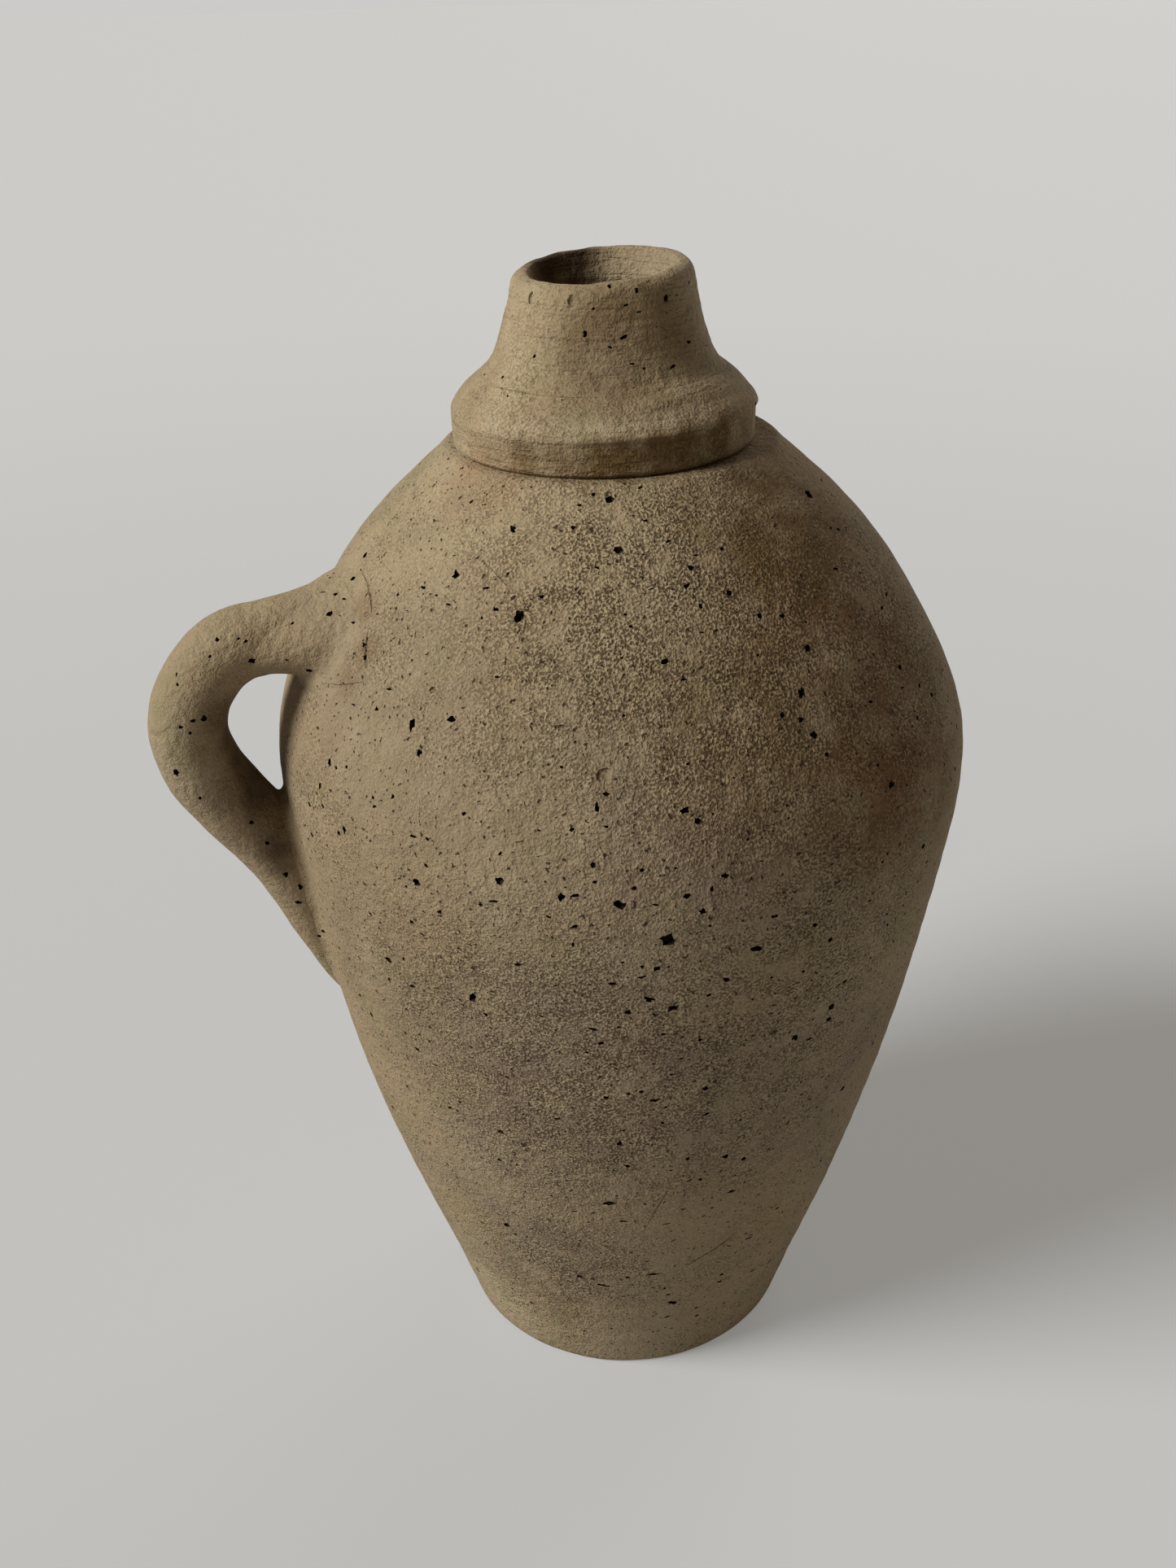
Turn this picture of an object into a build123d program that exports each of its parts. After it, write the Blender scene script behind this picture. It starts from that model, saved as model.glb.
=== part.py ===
from build123d import *
from math import cos, radians, sin, tan
import os

# A hand-built clay jug with one loop handle, in the pieces of clay it was made from.
# Millimetres, +Z up. The origin is the middle of the foot, and the handle points along -X.

# Body
foot_radius = 48.9
foot_round = 1.6
belly_radius = 89.6
belly_height = 182.0
shoulder_radius = 38.6
shoulder_height = 260.0
wall = 8.0
floor_thickness = 11.0
floor_corner = 6.0
floor_disc_radius = 34.0
floor_disc_bevel = 3.0

# Collar, set on the shoulder a little off the middle, towards the handle
neck_offset = 1.5
collar_radius = 36.9
collar_band = 9.0
collar_groove = 0.9
collar_flange = 8.3

# Neck and lip
neck_foot_radius = 29.6
neck_waist_radius = 24.6
neck_waist_rise = 8.0
neck_top_radius = 23.2
neck_rise = 12.4
lip_radius = 21.2
lip_rise = 10.9
lip_outer_round = 2.6
lip_inner_round = 0.7
rim_tilt = 5.0
rim_high_side = 33.0

# Mouth, a straight bore under a flare
mouth_radius = 15.4
mouth_length = 20.5
mouth_flare_radius = 16.9
mouth_flare_depth = 4.1

# Handle
handle_width = 20.4
handle_thickness = 19.4
handle_standoff = 24.0

# Clay pressed round both ends of the handle
upper_lute_width = 41.0
upper_lute_height = 22.0
upper_lute_grip = 4.2
lower_lute_width = 34.0
lower_lute_thickness = 6.4

# Step that keys each ring of the wall on the one below
lap_height = 3.0

# Where the handle's two ends lie: up the upper wall, and up the lower wall
handle_root_share = 0.556
handle_tail_share = 0.637

# The wall from foot to belly, and from belly to collar: how far out, and how far up
lower_wall_shares = [(0.421, 0.330), (0.773, 0.659), (0.966, 0.907)]
upper_wall_shares = [(0.853, 0.351), (0.541, 0.662)]

# Where the wall's inside follows its outside
lower_inside_shares = [0.06, 0.35, 0.65, 1.00]
upper_inside_shares = [0.30, 0.60, 1.00]

# The collar's flange: how far in towards the neck's foot, and how far up
flange_shares = [(0.30, 0.57)]

# The handle from root to tail: how far up from tail to root, how far it stands off
# the wall, and how thick it is
handle_shares = [
    (1.040, -0.64, 0.96),
    (1.011, -0.24, 0.96),
    (0.984, 0.13, 0.96),
    (0.973, 0.48, 0.95),
    (0.960, 0.80, 0.94),
    (0.905, 0.98, 0.96),
    (0.808, 0.96, 0.99),
    (0.696, 0.74, 1.02),
    (0.591, 0.45, 1.03),
    (0.487, 0.19, 1.01),
    (0.369, 0.01, 0.93),
    (0.244, -0.05, 0.77),
    (0.116, -0.10, 0.53),
    (0.000, -0.22, 0.34),
]

# The upper lute: how far along its stretch of the handle, how wide and how high
upper_lute_shares = [
    (0.00, 0.78, 0.88),
    (0.32, 1.00, 1.00),
    (0.53, 0.88, 1.00),
    (0.70, 0.66, 0.96),
    (0.86, 0.55, 0.92),
    (1.00, 0.51, 0.89),
]

# The lower lute: how far up from the handle's tail to its root, how wide and how thick
lower_lute_shares = [
    (-0.02, 0.36, 0.30),
    (0.085, 0.78, 0.62),
    (0.210, 1.00, 0.84),
    (0.350, 1.00, 1.00),
    (0.450, 0.88, 0.96),
    (0.530, 0.74, 0.80),
]

# Places worked out from the sizes
seam_height = shoulder_height + collar_groove
collar_edge_height = shoulder_height + collar_band
neck_foot_height = collar_edge_height + collar_flange
lip_foot_height = neck_foot_height + neck_rise
rim_height = lip_foot_height + lip_rise
bore_top_height = rim_height - mouth_flare_depth
bore_foot_height = bore_top_height - mouth_length
handle_root_height = belly_height + handle_root_share * (shoulder_height - belly_height)
handle_tail_height = handle_tail_share * belly_height
upright = Vector(0, 0, 1)
neck_place = Location((-neck_offset, 0, 0))


def at(radius, height):
    """A point of an outline, in the half of the jug away from the handle."""
    return Vector(radius, 0, height)


def between(low, high, share):
    return low + share * (high - low)


def turned(edges):
    """The solid that a closed outline makes when it is spun round the axis."""
    return revolve(make_face(Wire(edges)), Axis.Z)


def wall_outline():
    """Outside of the lower and the upper wall, from the foot's round edge to the collar."""
    lower_points = [at(foot_radius, foot_round)]
    for out, up in lower_wall_shares:
        lower_points.append(at(between(foot_radius, belly_radius, out), belly_height * up))
    lower_points.append(at(belly_radius, belly_height))
    upper_points = [at(belly_radius, belly_height)]
    for out, up in upper_wall_shares:
        radius = between(shoulder_radius, belly_radius, out)
        upper_points.append(at(radius, between(belly_height, shoulder_height, up)))
    upper_points.append(at(shoulder_radius, shoulder_height))
    lower = Spline(*lower_points, tangents=[lower_points[1] - lower_points[0], upright])
    upper = Spline(*upper_points, tangents=[upright, upper_points[-1] - upper_points[-2]])
    return lower, upper


lower_outline, upper_outline = wall_outline()


def wall_place(height):
    """The outline's edge that passes a height, and where along it, found by halving."""
    edge = lower_outline if height < belly_height else upper_outline
    low, high = 0.0, 1.0
    for _ in range(40):
        middle = (low + high) / 2
        if (edge @ middle).Z < height:
            low = middle
        else:
            high = middle
    return edge, low


def wall_radius(height):
    edge, place = wall_place(height)
    return (edge @ place).X


def inward(edge, share):
    """The point of the wall's inside that lies behind a share of an outline's edge."""
    along = edge % share
    return edge @ share + wall * Vector(-along.Z, 0, along.X)


def wall_inside():
    """Inside of the wall up to the collar's seam, and the throat that closes in to the bore."""
    points = [inward(lower_outline, share) for share in lower_inside_shares]
    points += [inward(upper_outline, share) for share in upper_inside_shares]
    closing_in = upper_outline % 1
    inside = Spline(*points, tangents=[lower_outline % lower_inside_shares[0], closing_in])
    throat = Spline(inside @ 1, at(mouth_radius, bore_foot_height), tangents=[closing_in, upright])
    return inside, throat


def zone(points):
    """Everything under a seam that runs from the axis out past the wall."""
    reach = 2 * belly_radius
    ends = [at(reach, points[-1].Z), at(reach, -reach), at(0, -reach)]
    corners = [at(0, points[0].Z), *points, *ends]
    return turned(Polyline(*corners, close=True).edges())


def lap_seam(height, radius):
    """Everything under a stepped seam, where the piece below stands up inside the one above."""
    return zone([at(radius, height + lap_height), at(radius, height)])


def foot_edges():
    foot = Line(at(0, 0), at(foot_radius - foot_round, 0))
    foot_edge = TangentArc(foot @ 1, lower_outline @ 0, tangent=Vector(1, 0, 0))
    return [foot, foot_edge]


def body_fill():
    """The body as one full solid, to fit the handle's ends against."""
    top = Line(upper_outline @ 1, at(0, shoulder_height))
    axis = Line(top @ 1, at(0, 0))
    return turned([*foot_edges(), lower_outline, upper_outline, top, axis])


def body_shell(inside, throat):
    """Floor and wall in one, run on up past the collar's seam."""
    groove = Line(upper_outline @ 1, at(collar_radius - collar_groove, seam_height))
    rise = Line(groove @ 1, groove @ 1 + lap_height * upright)
    top = Line(rise @ 1, throat @ 1)
    corner = Line(inside @ 0, at((inside @ 0).X - floor_corner, floor_thickness))
    floor = Line(corner @ 1, at(0, floor_thickness))
    axis = Line(floor @ 1, at(0, 0))
    outside = [*foot_edges(), lower_outline, upper_outline, groove, rise, top]
    return turned([*outside, throat, inside, corner, floor, axis])


def top_shell(throat):
    """Collar, neck and lip in one, run on down past the collar's seam and up past the rim."""
    over = 1.3 * lip_radius * tan(radians(rim_tilt))
    groove_foot = at(collar_radius - collar_groove, seam_height)
    root = Line(throat @ 0, at(groove_foot.X, (throat @ 0).Z))
    rise = Line(root @ 1, groove_foot)
    undercut = Line(groove_foot, at(collar_radius, seam_height + collar_groove))
    band = Line(undercut @ 1, at(collar_radius, collar_edge_height))
    flange_points = [band @ 1]
    for inset, up in flange_shares:
        radius = between(collar_radius, neck_foot_radius, inset)
        flange_points.append(at(radius, between(collar_edge_height, neck_foot_height, up)))
    flange_points.append(at(neck_foot_radius, neck_foot_height))
    flange_points.append(at(neck_waist_radius, neck_foot_height + neck_waist_rise))
    neck_top = at(neck_top_radius, lip_foot_height)
    flange_ends = [Vector(0, 0, 1), neck_top - flange_points[-1]]
    flange = Spline(*flange_points, tangents=flange_ends)
    neck = Line(flange @ 1, neck_top)
    lip_slope = (lip_radius - neck_top_radius) / lip_rise
    lip = Line(neck_top, at(lip_radius + lip_slope * over, rim_height + over))
    flare_slope = (mouth_flare_radius - mouth_radius) / mouth_flare_depth
    top = Line(lip @ 1, at(mouth_flare_radius + flare_slope * over, rim_height + over))
    flare = Line(top @ 1, at(mouth_radius, bore_top_height))
    bore = Line(flare @ 1, throat @ 1)
    return turned([root, rise, undercut, band, flange, neck, lip, top, flare, bore, throat])


def finish_rim(ring):
    """Cut the lip off along its slanting rim, and round both of the rim's edges."""
    lean = -sin(radians(rim_tilt))
    turn = radians(rim_high_side)
    facing = Vector(lean * cos(turn), lean * sin(turn), cos(radians(rim_tilt)))
    ring = split(ring, bisect_by=Plane(origin=(0, 0, rim_height), z_dir=facing), keep=Keep.BOTTOM)
    rim = ring.faces().filter_by(GeomType.PLANE).sort_by(Axis.Z)[-1]
    ring = fillet(rim.edges().sort_by(SortBy.LENGTH)[0], lip_inner_round)
    rim = ring.faces().filter_by(GeomType.PLANE).sort_by(Axis.Z)[-1]
    return fillet(rim.edges().sort_by(SortBy.LENGTH)[-1], lip_outer_round)


def handle_points():
    points = []
    for up, out, _ in handle_shares:
        height = between(handle_tail_height, handle_root_height, up)
        points.append(Vector(-wall_radius(height) - handle_standoff * out, 0, height))
    return points


def section(place, direction, width, thickness):
    """An oval across a run of clay, with its width along Y."""
    plane = Plane(origin=place, x_dir=(0, 1, 0), z_dir=direction)
    return plane * Ellipse(width / 2, thickness / 2)


def handle_rod(path):
    """The pulled rod, oval all along, from inside the upper wall to its thin tail."""
    points = handle_points()
    ovals = []
    for point, (_, _, size) in zip(points, handle_shares):
        direction = path.tangent_at(point)
        ovals.append(section(point, direction, handle_width * size, handle_thickness * size))
    return loft(ovals)


def root_run():
    """How far along the handle lies the first of its points that is clear of the wall."""
    clear = [out * handle_standoff > handle_thickness / 2 for _, out, _ in handle_shares]
    points = handle_points()[:clear.index(True) + 1]
    return sum((after - before).length for before, after in zip(points, points[1:]))


def upper_lute(path):
    """A trumpet of clay round the root of the handle, gripping it a little past the wall."""
    ovals = []
    for along, wide, high in upper_lute_shares:
        distance = along * (root_run() + upper_lute_grip)
        place = path.position_at(distance, position_mode=PositionMode.LENGTH)
        direction = path.tangent_at(distance, position_mode=PositionMode.LENGTH)
        ovals.append(section(place, direction, upper_lute_width * wide, upper_lute_height * high))
    return loft(ovals)


def lower_lute():
    """A low boat of clay smeared on the wall round the tail of the handle."""
    ovals = []
    for up, wide, thick in lower_lute_shares:
        height = between(handle_tail_height, handle_root_height, up)
        edge, place = wall_place(height)
        along = edge % place
        origin = Vector(-(edge @ place).X, 0, (edge @ place).Z)
        direction = Vector(-along.X, 0, along.Z)
        ovals.append(section(origin, direction, lower_lute_width * wide, 2 * lower_lute_thickness * thick))
    return loft(ovals)


def jug():
    """Every piece of clay, by the name of its node."""
    inside, throat = wall_inside()
    shell = body_shell(inside, throat)
    top = top_shell(throat)
    floor_rim = at(floor_disc_radius + floor_disc_bevel, floor_thickness)
    disc = turned([
        Line(at(0, 0), at(floor_disc_radius, 0)),
        Line(at(floor_disc_radius, 0), floor_rim),
        Line(floor_rim, at(0, floor_thickness)),
        Line(at(0, floor_thickness), at(0, 0)),
    ])
    under_belly = lap_seam(belly_height, belly_radius - wall / 2)
    under_collar = lap_seam(seam_height, collar_radius - collar_groove - wall / 2)
    under_neck = lap_seam(neck_foot_height, (mouth_radius + neck_foot_radius) / 2)
    under_lip = lap_seam(lip_foot_height, (mouth_radius + neck_top_radius) / 2)
    fill = body_fill()
    path = Spline(*handle_points())
    rod = handle_rod(path)
    return {
        "base_disc": disc,
        "lower_wall": shell & under_belly - disc,
        "upper_wall": shell & under_collar - under_belly,
        "collar_ring": neck_place * (top & under_neck) - under_collar,
        "neck": neck_place * (top & under_lip - under_neck),
        "lip_ring": neck_place * finish_rim(top - under_lip),
        "handle": rod - fill,
        "upper_handle_lute": upper_lute(path) - fill - rod,
        "lower_handle_lute": lower_lute() - fill - rod,
    }


if __name__ == "__main__":
    os.makedirs("parts", exist_ok=True)
    for name, piece in jug().items():
        solids = piece.solids()
        print(name, len(solids), "solid(s)", round(sum(solid.volume for solid in solids)), "mm3")
        piece.label = name
        export_step(piece, f"parts/{name}.step")
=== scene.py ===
from functools import cache
from math import atan2, cos, exp, pi, radians, sin, tan
from random import Random

import bmesh
import bpy
from bpy.props import FloatProperty, FloatVectorProperty, IntProperty, PointerProperty
from mathutils import Matrix, Quaternion, Vector, noise
from mathutils.bvhtree import BVHTree


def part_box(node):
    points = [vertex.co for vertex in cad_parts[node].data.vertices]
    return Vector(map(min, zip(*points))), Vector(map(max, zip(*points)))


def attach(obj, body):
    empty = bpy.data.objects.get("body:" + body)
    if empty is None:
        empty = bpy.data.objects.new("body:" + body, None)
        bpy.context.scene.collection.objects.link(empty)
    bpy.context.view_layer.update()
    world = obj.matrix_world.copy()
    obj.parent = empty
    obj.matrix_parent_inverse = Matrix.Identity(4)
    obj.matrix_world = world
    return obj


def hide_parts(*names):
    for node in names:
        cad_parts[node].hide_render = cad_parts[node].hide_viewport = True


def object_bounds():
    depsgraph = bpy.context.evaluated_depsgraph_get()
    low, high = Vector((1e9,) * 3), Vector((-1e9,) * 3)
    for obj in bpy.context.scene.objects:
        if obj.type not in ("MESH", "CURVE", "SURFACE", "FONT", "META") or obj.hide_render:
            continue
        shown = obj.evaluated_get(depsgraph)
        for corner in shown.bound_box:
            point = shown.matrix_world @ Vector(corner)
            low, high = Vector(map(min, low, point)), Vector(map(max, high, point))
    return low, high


bl_info = {
    "name": "One-handled clay jug",
    "version": (1, 0, 0),
    "blender": (4, 5, 0),
    "location": "3D View > Sidebar > Jug",
    "description": "Dresses the jug's CAD pieces as hand-built, sandy, unglazed fired clay",
    "category": "Object",
}

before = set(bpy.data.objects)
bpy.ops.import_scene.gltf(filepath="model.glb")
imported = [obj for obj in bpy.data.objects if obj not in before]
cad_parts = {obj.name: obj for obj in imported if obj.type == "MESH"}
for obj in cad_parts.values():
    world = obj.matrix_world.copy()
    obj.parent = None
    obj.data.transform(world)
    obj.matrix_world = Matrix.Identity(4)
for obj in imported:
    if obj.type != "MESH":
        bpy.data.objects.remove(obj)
cad_lowest, cad_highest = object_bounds()

mm = 0.001
up = Vector((0, 0, 1))

# The photograph's camera, in millimetres and degrees in the jug's own frame
photo_width, photo_height = 1445, 1927
focal_px = 1818
camera_place = Vector((-110.4, -334.3, 355.0)) * mm
camera_heading = -17.0
camera_pitch = 28.18
camera_roll = -1.62

# Fineness of the meshes
outside_spacing = 1.35 * mm
fine_spacing = 0.5 * mm
inside_spacing = 7.0 * mm
body_steps = 380
top_steps = 320
disc_steps = 160
corner_angle = radians(38)
crisp_angle = radians(50)

# Points nearer to each other than the gap are one, and points this near the axis stay put
merge_gap = 0.001 * mm
near_axis = 1 * mm

# Heights that the CAD pieces give
belly_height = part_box("upper_wall")[0].z
collar_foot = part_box("collar_ring")[0].z
ridge_height = collar_foot + 8.1 * mm
lip_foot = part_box("lip_ring")[0].z
rim_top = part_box("lip_ring")[1].z
top_axis = (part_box("collar_ring")[0].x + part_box("collar_ring")[1].x) / 2
collar_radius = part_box("collar_ring")[1].x - top_axis

# The wall's outer face is the run that is longer than this, and nearer than this to the
# wall's outer radius, which is looked for from well outside the jug
shortest_face = 60 * mm
half_wall = 4 * mm
well_outside = 300 * mm

# Marks of the hand on all the turned pieces: the width of each kind, and how deep or high it
# is. The pieces round the top get only a share of the wobble
soft_width = 55 * mm
lump_width = 14 * mm
peel_width = 2.8 * mm
peel_depth = 0.12 * mm
ring_drift_height = 60 * mm
ring_fade_width = 40 * mm
top_calm = 0.35
wave_height = 0.35 * mm
line_spacing = 1.3 * mm
line_depth = 0.13 * mm
line_least_radius = 19 * mm

# The flattened place behind the handle, its spread round the wall in degrees
grip_height = 172 * mm
grip_reach = 42 * mm
grip_spread = 30

# Where the wall is fuller than the CAD wall: how much, at what height, spread how far. The
# seats of the disc and the collar, inside the seat radii, get none of it
fuller_places = [(1.4 * mm, 10 * mm, 11 * mm), (1.4 * mm, 70 * mm, 70 * mm)]
crown_height = 252 * mm
crown_reach = 22 * mm
crown_fullness = 1.6 * mm
crown_lift = 1.2 * mm
seat_radius = 35 * mm
seat_reach = 10 * mm
collar_seat_radius = 36.5 * mm
collar_seat_reach = 2 * mm

# The collar's band under its ridge, and the channel over the ridge. Where the ridge is crisp,
# rides up and is worn down, the side and how far it spreads are in degrees
band_undercut = 1.2 * mm
band_height = 9 * mm
ridge_edge = 0.4 * mm
channel_depth = 2.0 * mm
channel_rise = 4.4 * mm
channel_width = 3.0 * mm
collar_skin = 7 * mm
crisp_side, crisp_spread = -58, 60
ridge_lift, lift_side, lift_spread = 1.1 * mm, -55, 38
ridge_drop, drop_side, drop_spread = 0.7 * mm, 185, 60
collar_wave_width = 22 * mm

# The rim, cut on a slant. Its slant and its high side are in degrees
rim_slant = 5
rim_high_side = 33
rim_reach = 8 * mm
rim_wave_width = 9 * mm
rag_width = 4 * mm
rag_height = 0.25 * mm
rim_clearance = 0.02 * mm

# Handle stations from root to tail: how far up from tail to root, how far off the wall,
# and how thick
handle_shares = [
    (1.040, -0.64, 0.96),
    (1.011, -0.24, 0.96),
    (0.984, 0.13, 0.96),
    (0.973, 0.48, 0.95),
    (0.960, 0.80, 0.94),
    (0.905, 0.98, 0.96),
    (0.808, 0.96, 0.99),
    (0.696, 0.74, 1.02),
    (0.591, 0.45, 1.03),
    (0.487, 0.19, 1.01),
    (0.369, 0.01, 0.93),
    (0.244, -0.05, 0.77),
    (0.116, -0.10, 0.53),
    (0.000, -0.22, 0.34),
]
handle_root_height = 225.4 * mm
handle_tail_height = 115.9 * mm
handle_standoff = 24.0 * mm
handle_thickness = 19.4 * mm
handle_width = 20.4 * mm
handle_lump_width = 15 * mm
handle_lump_depth = 0.40 * mm
handle_peel_depth = 0.07 * mm

# The clay laid round the handle's root: how wide from inside the wall outward, in shares of
# the handle's own stations, how much wider than high, and how much lower it hangs
root_spread_shares = [1.25, 1.20, 1.02, 0.78, 0.58]
flare_oval = 1.6
flare_drop = 2 * mm

# The clay smeared round both ends of the handle
lute_margin = Vector((34, 16, 16)) * mm
knead_size = 0.9 * mm
smear_width = 6 * mm
fine_smear_width = 2.5 * mm
smear_height = 0.16 * mm
smear_sink = 0.14 * mm

# The pits that stand out in the photograph: place in pixels, then width and height in
# millimetres
seen_pits_px_mm = [
    (762, 1113, 3.9, 2.4), (820, 1155, 4.4, 2.8), (613, 1082, 1.9, 1.8), (689, 1103, 1.9, 1.9),
    (706, 1101, 1.7, 1.0), (581, 1226, 2.1, 2.6), (597, 1247, 1.4, 1.2), (607, 1108, 2.8, 0.6),
    (798, 1228, 2.8, 1.8), (827, 1239, 3.3, 1.6), (771, 1244, 1.8, 1.4), (753, 1209, 2.4, 1.1),
    (789, 1201, 2.4, 0.7), (844, 1101, 1.8, 1.4), (864, 1120, 1.9, 1.6), (728, 1265, 2.4, 1.0),
    (739, 1282, 1.6, 1.3), (891, 1076, 1.8, 1.6), (867, 1338, 1.9, 1.5), (807, 1191, 1.6, 1.2),
    (706, 1139, 2.2, 0.9), (985, 851, 1.9, 2.4), (896, 728, 1.5, 1.5), (848, 698, 1.4, 1.4),
    (887, 675, 1.1, 1.1), (861, 745, 1.3, 1.2), (984, 884, 1.4, 1.3), (962, 879, 1.2, 1.2),
    (931, 805, 1.2, 0.8), (750, 1479, 3.3, 1.8), (765, 1501, 2.7, 0.9), (803, 1566, 3.4, 1.1),
    (742, 1580, 3.7, 1.1), (826, 1601, 2.8, 2.0), (821, 1591, 1.4, 0.8), (887, 1566, 1.5, 1.3),
    (884, 1575, 2.0, 1.0), (861, 1449, 1.4, 1.2), (771, 1433, 1.4, 1.1), (914, 1424, 1.6, 1.2),
    (899, 1464, 2.7, 0.9), (955, 1485, 1.6, 1.1), (977, 1275, 2.0, 1.9), (805, 1352, 2.4, 1.2),
    (560, 706, 1.8, 2.0), (630, 650, 2.0, 1.3), (520, 722, 1.5, 0.9), (609, 749, 1.5, 1.0),
    (638, 757, 2.2, 2.4), (506, 891, 1.5, 2.6), (993, 607, 3.2, 2.0), (555, 885, 2.0, 1.6),
    (405, 937, 1.6, 2.0), (423, 1020, 1.4, 2.0), (512, 1085, 2.8, 1.8), (1095, 965, 2.0, 1.8),
    (1000, 903, 2.0, 1.8), (930, 1166, 2.8, 2.0), (1020, 1155, 1.8, 1.4), (1001, 1137, 1.6, 1.2),
    (858, 1010, 1.8, 1.4), (665, 733, 1.4, 1.0), (310, 812, 1.6, 1.6), (818, 367, 1.6, 1.6),
    (719, 410, 1.2, 1.2), (846, 420, 1.4, 0.8), (777, 447, 1.2, 0.7), (749, 352, 0.8, 1.4),
    (782, 357, 0.8, 1.4), (769, 375, 1.3, 0.7), (267, 786, 1.0, 1.0), (293, 785, 0.8, 0.8),
    (302, 788, 0.9, 0.8), (258, 807, 0.9, 0.9), (217, 829, 0.8, 0.9), (218, 842, 0.9, 0.8),
    (237, 886, 1.2, 1.1), (222, 894, 1.3, 1.0), (234, 901, 1.0, 0.9), (250, 883, 1.2, 1.5),
    (216, 950, 1.6, 1.8), (246, 981, 0.9, 0.9), (309, 1011, 1.0, 1.0), (328, 1036, 1.1, 1.2),
    (351, 1074, 1.3, 1.8), (367, 1109, 1.5, 1.5), (369, 1090, 1.2, 1.9), (423, 736, 1.2, 0.7),
    (434, 765, 1.2, 0.8), (447, 792, 1.3, 1.3), (448, 808, 0.9, 1.3), (393, 966, 1.2, 1.3),
    (413, 943, 1.0, 1.1), (402, 1039, 0.9, 0.9), (389, 1023, 0.9, 0.8), (458, 980, 1.0, 0.9),
    (483, 979, 1.3, 1.2), (460, 991, 1.3, 0.8), (463, 871, 1.1, 1.0), (515, 925, 1.3, 2.0),
    (489, 731, 1.0, 0.9), (508, 1028, 1.8, 0.9), (525, 1031, 1.4, 0.7), (455, 1123, 1.2, 1.0),
    (506, 1133, 1.1, 0.9), (477, 1180, 2.6, 1.4), (496, 1179, 1.0, 1.0), (842, 996, 1.8, 1.4),
    (734, 993, 0.9, 2.3), (702, 1020, 1.2, 1.0), (570, 1000, 1.2, 0.8), (615, 1048, 1.0, 1.2),
    (750, 1101, 0.9, 0.9), (874, 1093, 0.9, 1.3), (731, 1084, 1.1, 0.7), (704, 1161, 0.8, 1.3),
    (674, 1127, 1.2, 0.7), (789, 1188, 0.9, 0.9), (804, 1247, 0.9, 0.9), (871, 1223, 1.5, 0.8),
    (666, 1249, 1.0, 0.9), (760, 1263, 1.3, 0.6), (815, 1271, 1.1, 0.8), (860, 1278, 1.1, 1.0),
    (837, 1301, 1.4, 0.6), (623, 1324, 1.2, 0.7), (579, 1287, 1.0, 0.8), (745, 1349, 1.4, 1.2),
    (772, 1345, 1.2, 0.7), (818, 1361, 1.1, 0.7), (814, 1380, 1.1, 0.9), (767, 1389, 1.1, 0.8),
    (952, 1126, 1.8, 0.9),
]

# Shallow scars without the pits' painted shade, where a grain fell out or a finger slipped, in the same
# way
scars_px_mm = [
    (742, 953, 4.0, 3.8), (650, 1408, 4.4, 3.2), (652, 366, 1.6, 3.0), (703, 369, 2.4, 2.6),
    (769, 371, 3.0, 2.2), (690, 894, 3.4, 1.4), (532, 848, 2.2, 1.6), (583, 1190, 2.0, 1.6),
    (480, 1205, 2.4, 2.0), (950, 1268, 2.6, 2.0),
]

# Scratches and finger seams: points in the photograph in pixels
scratches_px = [
    [(821, 1462), (806, 1488), (791, 1514)],
    [(905, 1515), (880, 1534), (845, 1555)],
    [(607, 702), (616, 711), (624, 720)],
]
seams_px = [
    [(443, 699), (452, 716), (456, 736), (457, 752)],
    [(452, 776), (450, 795), (449, 821)],
    [(447, 838), (430, 842), (413, 843), (395, 840)],
]
groove_width = 0.95 * mm
scratch_share = 0.8

# How far a pit's middle lies under the surface, in shares of the pit's depth
sunk_share = 0.30

# The burr that cuts a pit is wider and taller than the pit that is seen, by these shares. Its
# depth is in millimetres, and grows by a share of the pit's smaller side
burr_width_share, burr_height_share = 1.15, 1.2
small_burr_share = 1.25
burr_depth_mm, burr_growth_share = 0.6, 0.32
scar_depth = 0.5 * mm

# The small pits: their least width and how much wider the widest are, in millimetres, the
# height where they are densest and how far they spread from it, and how low the lowest are
least_pit_mm = 0.80
pit_growth_mm = 1.3
most_pitted_height = 135 * mm
pitted_reach = 75 * mm
lowest_pit_height = 4 * mm

# The share of them that is left far from that height, and again on the handle's side and over
# the collar's foot, and how far out in X the handle's side starts
sparse_share = 0.35
spared_share = 0.2
handle_side = -85 * mm

# Sizes of the clay's patterns, in millimetres
warm_patch_mm = 46
olive_patch_mm = 13
stain_and_painted_light_patch_mm = 12
sand_drift_mm = 30
sand_edge_mm = 7
skin_mm = 2.2
speck_mm = 1.1
tooth_mm = 0.45
wiped_line_mm = 1.2
pit_shade_patch_mm = 1.5
pit_relief = 0.3 * mm

# The paper: how far it goes each way in metres, the strength of its glow near the jug and far
# off, and how many metres off that is
paper_reach = 60
glow_near, glow_far, glow_reach = 0.21, 0.28, 1.7

# The two soft lights, from a window and off a wall: each one's direction, counted from the
# camera's right, its height and its width as the jug sees it, all in degrees
window_side, window_rise, window_width = 199, 37, 26
bounce_side, bounce_rise, bounce_width = 62, 12, 50
lit_place = Vector((0, 0, 150)) * mm

# The camera's sensor in its own unit, a millimetre, and the nearest that it sees
sensor_width = 36
nearest_seen = 10 * mm
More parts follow.
